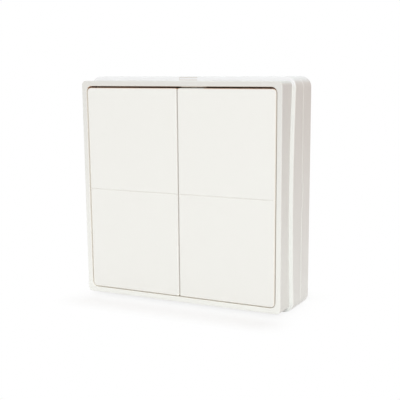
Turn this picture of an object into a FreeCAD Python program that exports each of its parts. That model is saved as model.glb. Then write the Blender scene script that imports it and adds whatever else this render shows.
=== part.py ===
import FreeCAD, Part
import math
import os

# Wireless wall switch with two rocker keys, all sizes in millimetres.
# X runs to the right along the front, Y runs from the front to the wall, Z runs up.
# The origin is on the surface that the switch stands on, below the middle of its depth.
# Every y value counts from the front face backwards until at_depth() moves it into the frame.

# Outline of the housing and of the back base
housing_width = 86.0
housing_height = 86.0
housing_corner = 4.0

# The layers, from the front to the wall; the ledge round the frame bulges forward at half height
seat_depth = 9.35
ledge_step = 0.15
ledge_bulge = 1.85
ledge_width = 1.55
ledge_fit = 0.05
housing_depth = 6.65
parting_chamfer = 0.5

# Front frame
frame_corner = 1.6
frame_rim = 2.0
rim_depth = 2.6
frame_wall = 1.5
opening_corner = 2.2
frame_outer_round = 0.3
frame_inner_round = 0.35
bead_radius = 0.4
bead_length = 10.0
bead_edge_gap = 0.05
bead_spread = 24.0
frame_seat_gap = 0.3
guide_length = 10.0
guide_x = 6.0
guide_start = 2.0
guide_gap = 0.3

# Rocker keys
side_gap = 0.33
bottom_gap = 0.25
top_gap = 0.6
centre_gap = 0.38
face_recess = 0.15
rocker_face = 1.5
rocker_skirt = 1.3
rocker_corner = 1.5
rocker_inner_corner = 0.6
rocker_edge_round = 0.5
crease_width = 0.4
crease_depth = 0.2
rib_thickness = 1.0
rib_height = 2.0
rib_pitch = 13.0
press_angle = 1.6
stop_gap = 0.5
stop_clearance = 0.12
stop_length = 24.0
stop_thickness = 1.1

# Pivots
pin_radius = 1.0
pin_overhang = 1.0
pivot_behind_face = 4.3
running_gap = 0.05
pin_seat_gap = 0.02
hook_wall = 1.3
hook_length = 5.0
hook_mouth = 1.7
hook_side_gap = 0.3
lug_thickness = 3.0
lug_offset = 12.0
lug_wall = 1.3
lug_foot = 3.4

# Carrier plate
carrier_thickness = 1.95
carrier_corner = 1.2
carrier_screw_inset_x = 6.9
carrier_screw_inset_z = 7.45
pocket_gap = 0.2

# Housing
housing_wall = 1.8
front_wall = 1.8
ledge_round = 0.4
pry_recess_width = 7.6
pry_recess_height = 0.8
pry_recess_depth = 0.25
pry_recess_drop = 0.25
boss_radius = 2.4
carrier_boss_length = 3.4

# Screws
screw_radius = 1.1
screw_head_radius = 2.0
screw_head_height = 1.2
screw_clearance = 0.2
pilot_gap = 0.04
carrier_screw_length = 6.4
board_screw_length = 3.4
recess_width = 0.5
recess_length = 2.2
recess_depth = 0.6

# Circuit board
board_side_room = 12.7
board_top_room = 3.65
board_thickness = 1.6
board_corner = 2.0
board_boss_height = 2.05
board_screw_inset = 3.0
board_tray_gap = 0.6

# Key switches and their stems
stem_lever = 8.0
switch_side = 6.0
switch_height = 3.5
switch_corner = 0.5
stem_radius = 1.75
stem_reach = 1.25
stem_length = 3.75
stem_gap = 0.1
stem_travel_room = 0.4
pusher_radius = 1.5
pusher_gap = 0.1
window_gap = 0.7

# Batteries and their tray
cell_radius = 5.25
cell_length = 44.5
cell_nub_radius = 1.9
cell_nub_length = 1.0
cell_spacing = 11.0
cell_floor_gap = 0.15
cell_round = 0.4
tray_floor = 0.8
tray_side = 1.0
tray_end = 1.5
tray_side_gap = 0.3
tray_rim_above_axis = 2.0
seat_below_axis = 1.0
finger_gap_width = 9.0
finger_gap_below_axis = 0.5
tray_edge_gap = 0.35
contact_sheet = 0.4
contact_width = 7.0
contact_height = 8.6
leaf_reach = 1.4
dimple_reach = 0.3
dimple_radius = 2.0
contact_play = 0.1

# Back base
base_wall = 1.8
back_wall = 1.6
back_round = 0.3
lip_thickness = 1.2
lip_height = 2.2
lip_gap = 0.15
catch_radius = 0.5
catch_reach = 0.3
catch_groove_gap = 0.12
catch_length = 14.0
catch_spread = 24.0
notch_length = 9.2
notch_depth = 0.9
notch_reach = 1.08
tongue_gap = 0.1
tongue_root = 0.5
slot_spacing = 60.0
slot_radius = 2.5
slot_length = 9.0
slot_seat_rim = 1.2
slot_seat_height = 0.8
floor_rib = 1.0
floor_rib_height = 0.6
floor_rib_length = 66.0
floor_rib_spaces = 3
cell_rest_gap = 0.3

# Parts on the back of the board, placed from its right and top edges
learn_inset = 8.0
learn_drop = 8.0
learn_reach = 1.2
led_size = (2.0, 0.8, 1.25)
led_gap = 6.0
chip_size = (10.3, 1.7, 7.5)
chip_inset = 23.0
chip_drop = 19.0
chip_legs = 8
leg_pitch = 1.27
leg_sheet = 0.25
leg_width = 0.4
leg_reach = 1.5
chip_stand_off = 0.15
radio_board_size = (18.0, 0.8, 14.0)
radio_inset = 43.0
radio_drop = 13.0
pad_radius = 0.4
shield_size = (13.0, 2.0, 11.0)
shield_sheet = 0.4
shield_round = 0.6
crystal_size = (11.0, 3.4, 4.4)
crystal_inset = 23.0
crystal_drop = 8.5
crystal_flange = 0.5
crystal_flange_sheet = 0.5
capacitor_size = (1.6, 0.8, 0.8)
capacitor_pitch = 3.0
capacitor_count = 4
capacitor_inset = 11.0
capacitor_drop = 24.0
can_radius = 2.5
can_height = 5.4
can_inset = 8.5
can_drop = 18.8
can_foot = 0.6
can_foot_height = 0.5
wire_radius = 0.4
wire_height = 1.8
wire_edge_gap = 1.2
wire_foot_drop = 24.0
wire_end_drop = 13.0
wire_corner = 2.5
wire_foot_bend = 1.0

# Sizes that follow from the ones above
frame_width = housing_width - 2 * ledge_width
frame_height = housing_height - 2 * ledge_width
opening_width = frame_width - 2 * frame_rim
opening_height = frame_height - 2 * frame_rim
rocker_width = (opening_width - 2 * side_gap - centre_gap) / 2
rocker_height = opening_height - bottom_gap - top_gap
rocker_x = (rocker_width + centre_gap) / 2
mid_z = housing_height / 2
rocker_z = mid_z + (bottom_gap - top_gap) / 2
rocker_top = rocker_z + rocker_height / 2
ledge_end_d = seat_depth - ledge_step
ledge_middle_d = ledge_end_d - ledge_bulge
ledge_radius = ((housing_height / 2) ** 2 + ledge_bulge ** 2) / (2 * ledge_bulge)
wall_back_d = seat_depth + front_wall
parting_d = seat_depth + housing_depth
cell_d = wall_back_d + tray_floor + cell_floor_gap + cell_radius
floor_d = cell_d + cell_radius + cell_rest_gap
total_depth = floor_d + back_wall
face_d = face_recess
pivot_d = face_d + pivot_behind_face
carrier_d = seat_depth - carrier_thickness
edge_travel = rocker_height / 2 * math.sin(math.radians(press_angle))
skirt_end_d = carrier_d - edge_travel - stop_gap
board_d = wall_back_d + board_boss_height
board_back_d = board_d + board_thickness
board_width = housing_width - 2 * board_side_room
board_right = board_width / 2
tray_height = cell_spacing + 2 * cell_radius + 2 * tray_side_gap + 2 * tray_side
tray_z = housing_wall + lip_gap + lip_thickness + tray_edge_gap + tray_height / 2
board_bottom = tray_z + tray_height / 2 + board_tray_gap
board_top = housing_height - housing_wall - lip_gap - lip_thickness - board_top_room
board_height = board_top - board_bottom
board_z = board_bottom + board_height / 2
switch_d = board_d - switch_height
stem_tip_d = switch_d - stem_reach
lug_wall_radius = pin_radius + lug_wall
hook_radius = pin_radius + running_gap + hook_wall
hook_offset = lug_offset - lug_thickness / 2 - hook_side_gap - hook_length / 2
pin_length = 2 * (lug_offset + lug_thickness / 2 + pin_overhang)
carrier_width = frame_width - 2 * frame_wall - 2 * frame_seat_gap
carrier_height = frame_height - 2 * frame_wall - 2 * frame_seat_gap
pocket_width = carrier_width + 2 * pocket_gap
pocket_height = carrier_height + 2 * pocket_gap
carrier_screw_x = frame_width / 2 - carrier_screw_inset_x
carrier_screw_z = frame_height / 2 - carrier_screw_inset_z
board_screw_x = board_width / 2 - board_screw_inset
board_screw_z = board_height / 2 - board_screw_inset
cavity_width = housing_width - 2 * housing_wall
cavity_height = housing_height - 2 * housing_wall
base_cavity_width = housing_width - 2 * base_wall
base_cavity_height = housing_height - 2 * base_wall
tray_inside = cell_length + contact_sheet + leaf_reach + contact_sheet + dimple_reach + 2 * contact_play
tray_length = tray_inside + 2 * tray_end
tray_rim_d = cell_d + tray_rim_above_axis
learn_x = board_right - learn_inset
learn_z = board_top - learn_drop
chip_x = board_right - chip_inset
chip_z = board_top - chip_drop
radio_x = board_right - radio_inset
radio_z = board_top - radio_drop
crystal_x = board_right - crystal_inset
crystal_z = board_top - crystal_drop
capacitor_x = board_right - capacitor_inset
capacitor_z = board_top - capacitor_drop
can_x = board_right - can_inset
can_z = board_top - can_drop
left_and_right = (-1, 1)
down_and_up = (-1, 1)
merge_depth = 0.2  # how far a shape runs into the one that it is joined to


def at_depth(depth):
    """Y in the switch's frame of a place that lies this far behind the front face."""
    return depth - total_depth / 2


def block(x0, x1, d0, d1, z0, z1):
    corner = FreeCAD.Vector(x0, at_depth(d0), z0)
    return Part.makeBox(x1 - x0, d1 - d0, z1 - z0, corner)


def centred_block(x, z, width, height, d0, d1):
    return block(x - width / 2, x + width / 2, d0, d1, z - height / 2, z + height / 2)


def rod(x, z, radius, d0, d1):
    """Round bar along the depth."""
    start = FreeCAD.Vector(x, at_depth(d0), z)
    return Part.makeCylinder(radius, d1 - d0, start, FreeCAD.Vector(0, 1, 0))


def cross_rod(x0, x1, depth, z, radius):
    """Round bar along X."""
    start = FreeCAD.Vector(x0, at_depth(depth), z)
    return Part.makeCylinder(radius, x1 - x0, start, FreeCAD.Vector(1, 0, 0))


def upright_rod(x, depth, z0, z1, radius):
    """Round bar along Z."""
    start = FreeCAD.Vector(x, at_depth(depth), z0)
    return Part.makeCylinder(radius, z1 - z0, start, FreeCAD.Vector(0, 0, 1))


def edges_along_depth(shape, keep=lambda point: True):
    found = []
    for edge in shape.Edges:
        box = edge.BoundBox
        if box.XLength < 1e-6 and box.ZLength < 1e-6 and keep(edge.CenterOfMass):
            found.append(edge)
    return found


def edges_at_depth(shape, depth, keep=lambda point: True):
    """Edges that lie wholly in the plane at this depth."""
    found = []
    for edge in shape.Edges:
        box = edge.BoundBox
        flat = abs(box.YMin - at_depth(depth)) < 1e-5 and abs(box.YMax - at_depth(depth)) < 1e-5
        if flat and keep(edge.CenterOfMass):
            found.append(edge)
    return found


def rounded_block(x, z, width, height, corner, d0, d1):
    """Plate with round corners seen from the front."""
    plate = centred_block(x, z, width, height, d0, d1)
    return plate.makeFillet(corner, edges_along_depth(plate))


def beyond(half_width, half_height):
    """Test for points that lie outside a centred rectangle."""
    return lambda point: abs(point.x) > half_width or abs(point.z - mid_z) > half_height


def slot_hole(x, z, radius, length, d0, d1):
    """Level hole with round ends, the whole slot this long."""
    run = length / 2 - radius
    ends = [rod(x - run, z, radius, d0, d1), rod(x + run, z, radius, d0, d1)]
    return centred_block(x, z, 2 * run, 2 * radius, d0, d1).fuse(ends).removeSplitter()


def ledge_depth(z):
    """Depth of the bulged ledge at this height."""
    return ledge_middle_d + ledge_radius - math.sqrt(ledge_radius ** 2 - (z - mid_z) ** 2)


def ledge_roll(gap):
    """Large level cylinder whose front is the ledge, grown by a gap."""
    axis_d = ledge_middle_d + ledge_radius
    return cross_rod(-housing_width, housing_width, axis_d, mid_z, ledge_radius + gap)


def edges_on_ledge(shape):
    """Edges that lie wholly on the bulged ledge."""
    axis_y = at_depth(ledge_middle_d + ledge_radius)
    found = []
    for edge in shape.Edges:
        reaches = [math.hypot(place.y - axis_y, place.z - mid_z) for place in edge.discretize(5)]
        if all(abs(reach - ledge_radius) < 1e-4 for reach in reaches):
            found.append(edge)
    return found


def frame_bead_places():
    """Centre of each snap bead inside the frame: two at the top and two at the bottom."""
    half = frame_height / 2 - frame_wall
    return [(side * bead_spread, mid_z + level * half) for side in left_and_right for level in down_and_up]


def bead_depth():
    """The beads lie just in front of the frame's back edge."""
    return ledge_depth(mid_z + frame_height / 2) - ledge_fit - bead_radius - bead_edge_gap


def bead(x, z):
    """Half-round snap bead, its axis on the face of the wall that carries it."""
    return cross_rod(x - bead_length / 2, x + bead_length / 2, bead_depth(), z, bead_radius)


def make_front_frame():
    frame = rounded_block(0, mid_z, frame_width, frame_height, frame_corner, 0, seat_depth)
    opening = rounded_block(0, mid_z, opening_width, opening_height, opening_corner, -1, rim_depth + 1)
    inside_corner = max(frame_corner - frame_wall, 0.3)
    room = rounded_block(0, mid_z, frame_width - 2 * frame_wall, frame_height - 2 * frame_wall,
                         inside_corner, rim_depth, seat_depth + 1)
    frame = frame.cut(opening).cut(room)
    split = beyond(opening_width / 2 + frame_rim / 2, opening_height / 2 + frame_rim / 2)
    outer = edges_at_depth(frame, 0, split)
    frame = frame.makeFillet(frame_outer_round, outer)
    inner = edges_at_depth(frame, 0, lambda point: not split(point))
    inner = [edge for edge in inner if inside_rim(edge)]
    frame = frame.makeFillet(frame_inner_round, inner)
    sunk = frame_wall / 2
    keep = rounded_block(0, mid_z, frame_width - sunk, frame_height - sunk, frame_corner, 0, seat_depth)
    added = [bead(x, z).common(keep) for x, z in frame_bead_places()] + [key_guide()]
    return frame.fuse(added).cut(ledge_roll(ledge_fit)).removeSplitter()


def key_guide():
    """Low rib under the top rim, just above a key, that centres the keys in the opening."""
    root = mid_z + opening_height / 2 + frame_rim / 2
    return block(guide_x - guide_length / 2, guide_x + guide_length / 2, guide_start, rim_depth,
                 rocker_top + guide_gap, root)


def inside_rim(edge):
    """True for the edges of the opening, not for those left by the outer rounding."""
    box = edge.BoundBox
    reach_x = max(abs(box.XMin), abs(box.XMax))
    reach_z = max(abs(box.ZMin - mid_z), abs(box.ZMax - mid_z))
    return reach_x < opening_width / 2 + 0.01 and reach_z < opening_height / 2 + 0.01


def make_rocker(side):
    """One key: a shell with a crease, ribs, two snap hooks and two pushers."""
    x = side * rocker_x
    key = centred_block(x, rocker_z, rocker_width, rocker_height, face_d, skirt_end_d)
    outer = edges_along_depth(key, lambda point: abs(point.x) > rocker_x)
    key = key.makeFillet(rocker_corner, outer)
    inner = edges_along_depth(key, lambda point: abs(point.x) < centre_gap)
    key = key.makeFillet(rocker_inner_corner, inner)
    key = key.makeFillet(rocker_edge_round, edges_at_depth(key, face_d))
    hollow_width = rocker_width - 2 * rocker_skirt
    hollow_height = rocker_height - 2 * rocker_skirt
    hollow_start = face_d + rocker_face
    key = key.cut(centred_block(x, rocker_z, hollow_width, hollow_height, hollow_start, skirt_end_d + 1))
    key = key.cut(crease_cutter(x))
    added = rocker_ribs(x, hollow_width, hollow_height)
    added += [rocker_hook(x + offset * hook_offset) for offset in left_and_right]
    added += [rocker_pusher(x, level) for level in down_and_up]
    key = key.fuse(added).removeSplitter()
    for offset in left_and_right:
        key = key.cut(hook_bore(x + offset * hook_offset))
    return key


def crease_cutter(x):
    """V-shaped line across the key at half height."""
    y = at_depth(face_d)
    left = x - rocker_width / 2 - 1
    corners = [FreeCAD.Vector(left, y, mid_z - crease_width / 2),
               FreeCAD.Vector(left, y + crease_depth, mid_z),
               FreeCAD.Vector(left, y, mid_z + crease_width / 2)]
    profile = Part.Face(Part.makePolygon(corners + corners[:1]))
    return profile.extrude(FreeCAD.Vector(rocker_width + 2, 0, 0))


def rocker_ribs(x, hollow_width, hollow_height):
    """Level ribs from side to side, and one upright rib at each side of the pusher."""
    start = face_d + rocker_face - merge_depth
    end = face_d + rocker_face + rib_height
    ribs = []
    for level in down_and_up:
        for step in (1, 2):
            z = mid_z + level * (stem_lever - rib_thickness + step * rib_pitch)
            ribs.append(centred_block(x, z, hollow_width + merge_depth, rib_thickness, start, end))
        z = mid_z + level * stem_lever
        ribs.append(centred_block(x, z, 2 * hook_offset, rib_thickness, start, end))
    for offset in left_and_right:
        ribs.append(centred_block(x + offset * hook_offset, rocker_z, rib_thickness,
                                  hollow_height + merge_depth, start, end))
    return ribs


def rocker_hook(x):
    """Block that carries the snap bore, with a round end."""
    web = block(x - hook_length / 2, x + hook_length / 2, face_d + rocker_face - merge_depth, pivot_d,
                mid_z - hook_radius, mid_z + hook_radius)
    return web.fuse(cross_rod(x - hook_length / 2, x + hook_length / 2, pivot_d, mid_z, hook_radius))


def hook_bore(x):
    """Bore for the pin, open towards the wall through a narrower mouth."""
    x0 = x - hook_length / 2 - 0.5
    x1 = x + hook_length / 2 + 0.5
    bore = cross_rod(x0, x1, pivot_d, mid_z, pin_radius + running_gap)
    mouth = centred_block(x, mid_z, x1 - x0, hook_mouth, pivot_d, pivot_d + hook_radius + 0.5)
    return bore.fuse(mouth)


def rocker_pusher(x, level):
    """Round peg that bears on a switch stem."""
    z = mid_z + level * stem_lever
    end = stem_tip_d - pusher_gap
    peg = rod(x, z, pusher_radius, face_d + rocker_face - merge_depth, end)
    return peg.makeChamfer(pusher_radius * 0.35, edges_at_depth(peg, end))


def make_pivot_pin(side):
    x = side * rocker_x
    pin = cross_rod(x - pin_length / 2, x + pin_length / 2, pivot_d, mid_z, pin_radius)
    ends = [edge for edge in pin.Edges if edge.BoundBox.XLength < 1e-6]
    return pin.makeChamfer(0.2, ends)


def carrier_screw_places():
    return [(i * carrier_screw_x, mid_z + k * carrier_screw_z) for i in left_and_right for k in down_and_up]


def stem_places():
    return [(i * rocker_x, mid_z + k * stem_lever) for i in left_and_right for k in down_and_up]


def pivot_lug(x):
    """Tapered lug that holds one end of a pin."""
    x0 = x - lug_thickness / 2
    foot = at_depth(carrier_d + merge_depth)
    top = at_depth(pivot_d)
    outline = [FreeCAD.Vector(x0, foot, mid_z - lug_foot), FreeCAD.Vector(x0, top, mid_z - lug_wall_radius),
               FreeCAD.Vector(x0, top, mid_z + lug_wall_radius), FreeCAD.Vector(x0, foot, mid_z + lug_foot)]
    web = Part.Face(Part.makePolygon(outline + outline[:1])).extrude(FreeCAD.Vector(lug_thickness, 0, 0))
    return web.fuse(cross_rod(x0, x0 + lug_thickness, pivot_d, mid_z, lug_wall_radius))


def make_rocker_carrier():
    plate = rounded_block(0, mid_z, carrier_width, carrier_height, carrier_corner, carrier_d, seat_depth)
    added = []
    stop_offset = rocker_height / 2 - rocker_skirt / 2
    stop_d = carrier_d - stop_gap + stop_clearance
    for side in left_and_right:
        x = side * rocker_x
        for offset in left_and_right:
            added.append(pivot_lug(x + offset * lug_offset))
        for level in down_and_up:
            z = rocker_z + level * stop_offset
            added.append(centred_block(x, z, stop_length, stop_thickness, stop_d, carrier_d + merge_depth))
    plate = plate.fuse(added).removeSplitter()
    for side in left_and_right:
        x = side * rocker_x
        bore = cross_rod(x - pin_length, x + pin_length, pivot_d, mid_z, pin_radius + pin_seat_gap)
        plate = plate.cut(bore)
    for x, z in stem_places():
        plate = plate.cut(rod(x, z, stem_radius + window_gap, carrier_d - 1, seat_depth + 1))
    for x, z in carrier_screw_places():
        plate = plate.cut(rod(x, z, screw_radius + screw_clearance, carrier_d - 1, seat_depth + 1))
    for x, z in frame_bead_places():
        plate = plate.cut(bead_undercut(x, z))
    return plate


def bead_undercut(x, z):
    """Step in the carrier's back edge that the frame's bead snaps behind."""
    room = bead_radius + frame_seat_gap
    start = bead_depth() - bead_radius - frame_seat_gap
    return centred_block(x, z, bead_length + 2, 2 * room, start, seat_depth + 1)


def screw(x, z, seat_d, length, towards_wall):
    """Pan-head screw: its head lies on the seat, its shank runs on from there."""
    way = 1 if towards_wall else -1
    head_end = seat_d - way * screw_head_height
    tip = seat_d + way * length
    head = rod(x, z, screw_head_radius, min(seat_d, head_end), max(seat_d, head_end))
    head = head.makeChamfer(screw_head_height * 0.3, edges_at_depth(head, head_end))
    shank = rod(x, z, screw_radius, min(seat_d, tip), max(seat_d, tip))
    shank = shank.makeChamfer(screw_radius * 0.5, edges_at_depth(shank, tip))
    whole = head.fuse(shank).removeSplitter()
    far = head_end + way * recess_depth
    for width, height in ((recess_length, recess_width), (recess_width, recess_length)):
        whole = whole.cut(centred_block(x, z, width, height, min(head_end, far), max(head_end, far)))
    return whole


def make_carrier_screws():
    places = carrier_screw_places()
    return Part.makeCompound([screw(x, z, carrier_d, carrier_screw_length, True) for x, z in places])


def board_screw_places():
    return [(i * board_screw_x, board_z + k * board_screw_z) for i in left_and_right for k in down_and_up]


def make_board_screws():
    places = board_screw_places()
    return Part.makeCompound([screw(x, z, board_back_d, board_screw_length, False) for x, z in places])


def catch_places():
    """Two catches on each long side of the lip, one on each upright side."""
    half_w = cavity_width / 2 - lip_gap
    half_h = cavity_height / 2 - lip_gap
    places = []
    for side in left_and_right:
        places.append((side * half_w, mid_z, False))
        for level in down_and_up:
            places.append((side * catch_spread, mid_z + level * half_h, True))
    return places


def catch_bar(x, z, along_x, gap):
    """Half-round bar that stands out of the lip, with its groove when given a gap."""
    depth = parting_d - lip_height / 2
    sink = catch_radius - catch_reach
    radius = catch_radius + gap
    half = catch_length / 2 + gap
    if along_x:
        outward = math.copysign(1, z - mid_z)
        return cross_rod(x - half, x + half, depth, z - outward * sink, radius)
    outward = math.copysign(1, x)
    return upright_rod(x - outward * sink, depth, z - half, z + half, radius)


def make_housing():
    body = rounded_block(0, mid_z, housing_width, housing_height, housing_corner, 0, parting_d)
    body = body.common(ledge_roll(0))
    body = body.makeFillet(ledge_round, edges_on_ledge(body))
    pocket = rounded_block(0, mid_z, pocket_width, pocket_height, carrier_corner, 0, seat_depth)
    cavity = rounded_block(0, mid_z, cavity_width, cavity_height, housing_corner - housing_wall,
                           wall_back_d, parting_d + 1)
    body = body.cut(pocket).cut(cavity)
    bosses = []
    for x, z in carrier_screw_places():
        bosses.append(rod(x, z, boss_radius, wall_back_d - merge_depth, wall_back_d + carrier_boss_length))
    for x, z in board_screw_places():
        bosses.append(rod(x, z, boss_radius, wall_back_d - merge_depth, board_d))
    body = body.fuse(bosses).removeSplitter()
    for x, z in carrier_screw_places():
        tip = carrier_d + carrier_screw_length + 0.5
        body = body.cut(rod(x, z, screw_radius + pilot_gap, seat_depth - 1, tip))
    for x, z in board_screw_places():
        tip = board_back_d - board_screw_length - 0.3
        body = body.cut(rod(x, z, screw_radius + pilot_gap, tip, board_d + 1))
    side = switch_side + 2 * window_gap
    for x, z in stem_places():
        body = body.cut(rounded_block(x, z, side, side, window_gap, seat_depth - 1, wall_back_d + 1))
    for x, z, along_x in catch_places():
        body = body.cut(catch_bar(x, z, along_x, catch_groove_gap))
    return body.cut(pry_recess()).fuse(tongue()).removeSplitter()


def pry_recess():
    """Shallow recess in the ledge at the top, where a blade starts to lift the frame off."""
    z = housing_height - pry_recess_drop - pry_recess_height / 2
    start = ledge_depth(z)
    return centred_block(0, z, pry_recess_width, pry_recess_height, start - 1, start + pry_recess_depth)


def tongue():
    """Short tongue on the right-hand wall that fills the notch in the base, so they close one way round."""
    half = notch_length / 2 - tongue_gap
    outer = housing_width / 2
    inner = outer - notch_reach + tongue_gap
    end = parting_d + notch_depth - tongue_gap
    return block(inner, outer, parting_d - tongue_root, end, mid_z - half, mid_z + half)


def make_back_base():
    base = rounded_block(0, mid_z, housing_width, housing_height, housing_corner, parting_d, total_depth)
    base = base.makeFillet(back_round, edges_at_depth(base, total_depth))
    base = base.cut(notch())
    front_edges = edges_at_depth(base, parting_d)
    on_outline = lambda point: point.x > housing_width / 2 - 0.01
    notch_edges = edges_at_depth(base, parting_d + notch_depth, on_outline)
    base = base.makeChamfer(parting_chamfer, outer_edges(front_edges) + notch_edges)
    cavity = rounded_block(0, mid_z, base_cavity_width, base_cavity_height,
                           housing_corner - base_wall, parting_d - 1, floor_d)
    base = base.cut(cavity)
    base = base.fuse([make_lip()] + floor_ribs() + slot_seats()).removeSplitter()
    for x, z in slot_places():
        base = base.cut(slot_hole(x, z, slot_radius, slot_length, floor_d - 2, total_depth + 1))
    return base


def outer_edges(edges):
    """Edges that lie on the outline of the housing, without those of the notch."""
    half_width = housing_width / 2 - housing_corner - 0.01
    half_height = housing_height / 2 - housing_corner - 0.01
    found = []
    for edge in edges:
        middle = edge.CenterOfMass
        near_side = abs(middle.x) > housing_width / 2 - 0.01
        near_end = abs(middle.z - mid_z) > housing_height / 2 - 0.01
        at_corner = abs(middle.x) > half_width and abs(middle.z - mid_z) > half_height
        if near_side or near_end or at_corner:
            found.append(edge)
    return found


def notch():
    """Step in the front edge of the right-hand wall that takes the housing's tongue."""
    outer = housing_width / 2
    half = notch_length / 2
    end = parting_d + notch_depth
    return block(outer - notch_reach, outer + 1, parting_d - 1, end, mid_z - half, mid_z + half)


def make_lip():
    """Ring inside the wall that runs into the housing and snaps there."""
    width = cavity_width - 2 * lip_gap
    height = cavity_height - 2 * lip_gap
    corner = housing_corner - housing_wall
    root = parting_d + 1.5
    lip = rounded_block(0, mid_z, width, height, corner, parting_d - lip_height, root)
    inner = rounded_block(0, mid_z, width - 2 * lip_thickness, height - 2 * lip_thickness,
                          corner * 0.5, parting_d - lip_height - 1, root + 1)
    bars = [catch_bar(x, z, along_x, 0) for x, z, along_x in catch_places()]
    lip = lip.fuse(bars).cut(inner)
    foot = rounded_block(0, mid_z, base_cavity_width + 1, base_cavity_height + 1, corner, parting_d, root)
    return lip.fuse(foot.cut(inner)).removeSplitter()


def slot_places():
    return [(side * slot_spacing / 2, mid_z) for side in left_and_right]


def slot_seats():
    """Raised rims on the floor that the wall screws' heads bear on."""
    radius = slot_radius + slot_seat_rim
    length = slot_length + 2 * slot_seat_rim
    start = floor_d - slot_seat_height
    return [slot_hole(x, z, radius, length, start, floor_d + merge_depth) for x, z in slot_places()]


def floor_ribs():
    """Low level ribs on the floor behind the board, and an upright one that joins them."""
    start = floor_d - floor_rib_height
    end = floor_d + merge_depth
    bottom = board_bottom + floor_rib
    run = board_top - bottom
    ribs = [centred_block(0, bottom + run / 2, floor_rib, run, start, end)]
    for number in range(floor_rib_spaces + 1):
        z = bottom + number * run / floor_rib_spaces
        width = floor_rib_length
        if abs(z - mid_z) < slot_radius + slot_seat_rim + floor_rib:
            width = slot_spacing - slot_length - 4 * slot_seat_rim
        ribs.append(centred_block(0, z, width, floor_rib, start, end))
    return ribs


def make_main_board():
    board = rounded_block(0, board_z, board_width, board_height, board_corner, board_d, board_back_d)
    for x, z in board_screw_places():
        board = board.cut(rod(x, z, screw_radius + screw_clearance, board_d - 1, board_back_d + 1))
    return board


def switch_body(x, z, seat_d, open_d):
    """Square switch body on the board with a round pocket for its stem."""
    low = min(seat_d, open_d)
    high = max(seat_d, open_d)
    body = rounded_block(x, z, switch_side, switch_side, switch_corner, low, high)
    inward = math.copysign(1, seat_d - open_d)
    floor = seat_d - inward * stem_travel_room
    pocket = rod(x, z, stem_radius + stem_gap, min(floor, open_d - inward), max(floor, open_d - inward))
    return body.cut(pocket)


def make_key_switches():
    return Part.makeCompound([switch_body(x, z, board_d, switch_d) for x, z in stem_places()])


def make_stem(side, level):
    x = side * rocker_x
    z = mid_z + level * stem_lever
    stem = rod(x, z, stem_radius, stem_tip_d, stem_tip_d + stem_length)
    return stem.makeChamfer(0.2, edges_at_depth(stem, stem_tip_d))


def make_learn_switch():
    return switch_body(learn_x, learn_z, board_back_d, board_back_d + switch_height)


def make_learn_button():
    tip = board_back_d + switch_height + learn_reach
    bottom = board_back_d + 2 * stem_travel_room + 0.2
    stem = rod(learn_x, learn_z, stem_radius, bottom, tip)
    return stem.makeChamfer(0.25, edges_at_depth(stem, tip))


def board_part(x, z, size, lift=0.0):
    """Block on the back of the board: its width, its height off the board and its length along Z."""
    width, height, length = size
    start = board_back_d + lift
    return centred_block(x, z, width, length, start, start + height)


def make_status_led():
    x = learn_x
    z = learn_z - led_gap
    body = board_part(x, z, led_size)
    lens_radius = led_size[2] * 0.42
    top = board_back_d + led_size[1]
    lens = rod(x, z, lens_radius, top - 0.1, top + 0.35)
    return body.fuse(lens.makeChamfer(0.15, edges_at_depth(lens, top + 0.35)))


def make_microcontroller():
    """Moulded package with a row of bent legs on each side."""
    width, height, length = chip_size
    package = board_part(chip_x, chip_z, (width, height, length), chip_stand_off)
    package = package.makeChamfer(0.3, edges_at_depth(package, board_back_d + chip_stand_off + height))
    legs = []
    shoulder = board_back_d + chip_stand_off + height / 2
    for row in down_and_up:
        root = chip_z + row * length / 2
        for number in range(chip_legs):
            x = chip_x + (number - (chip_legs - 1) / 2) * leg_pitch
            legs.append(bent_leg(x, root, row, shoulder))
    return package.fuse(legs).removeSplitter()


def bent_leg(x, root, row, shoulder):
    """Strip that leaves the package, drops to the board and ends in a flat foot."""
    sheet = leg_sheet
    mid = root + row * leg_reach / 2
    tip = root + row * leg_reach
    foot = board_back_d
    outline = [(root - row * 0.3, shoulder), (root - row * 0.3, shoulder + sheet),
               (mid + row * sheet, shoulder + sheet), (mid + row * sheet, foot + sheet),
               (tip, foot + sheet), (tip, foot), (mid, foot), (mid, shoulder)]
    points = [FreeCAD.Vector(x - leg_width / 2, at_depth(d), z) for z, d in outline]
    return Part.Face(Part.makePolygon(points + points[:1])).extrude(FreeCAD.Vector(leg_width, 0, 0))


def make_radio_board():
    board = board_part(radio_x, radio_z, radio_board_size)
    width, height, length = radio_board_size
    for side in left_and_right:
        for step in range(-3, 4):
            x = radio_x + side * width / 2
            z = radio_z + step * length / 8
            board = board.cut(rod(x, z, pad_radius, board_back_d - 1, board_back_d + height + 1))
    return board


def make_radio_shield():
    """Drawn can that is open towards its board."""
    lift = radio_board_size[1]
    can = board_part(radio_x, radio_z, shield_size, lift)
    can = can.makeFillet(shield_round, edges_along_depth(can))
    top = board_back_d + lift + shield_size[1]
    can = can.makeFillet(shield_round * 0.5, edges_at_depth(can, top))
    width, height, length = shield_size
    room = (width - 2 * shield_sheet, height - shield_sheet, length - 2 * shield_sheet)
    return can.cut(board_part(radio_x, radio_z, room, lift))


def make_crystal():
    """Metal can with oval ends on a thin flange."""
    width, height, length = crystal_size
    flange = board_part(crystal_x, crystal_z, (width + crystal_flange * 2, crystal_flange_sheet,
                                               length + crystal_flange * 2))
    flange = flange.makeFillet((length + crystal_flange * 2) * 0.49, edges_along_depth(flange))
    can = board_part(crystal_x, crystal_z, (width, height, length))
    can = can.makeFillet(length * 0.49, edges_along_depth(can))
    can = can.makeChamfer(0.3, edges_at_depth(can, board_back_d + height))
    return flange.fuse(can)


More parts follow.
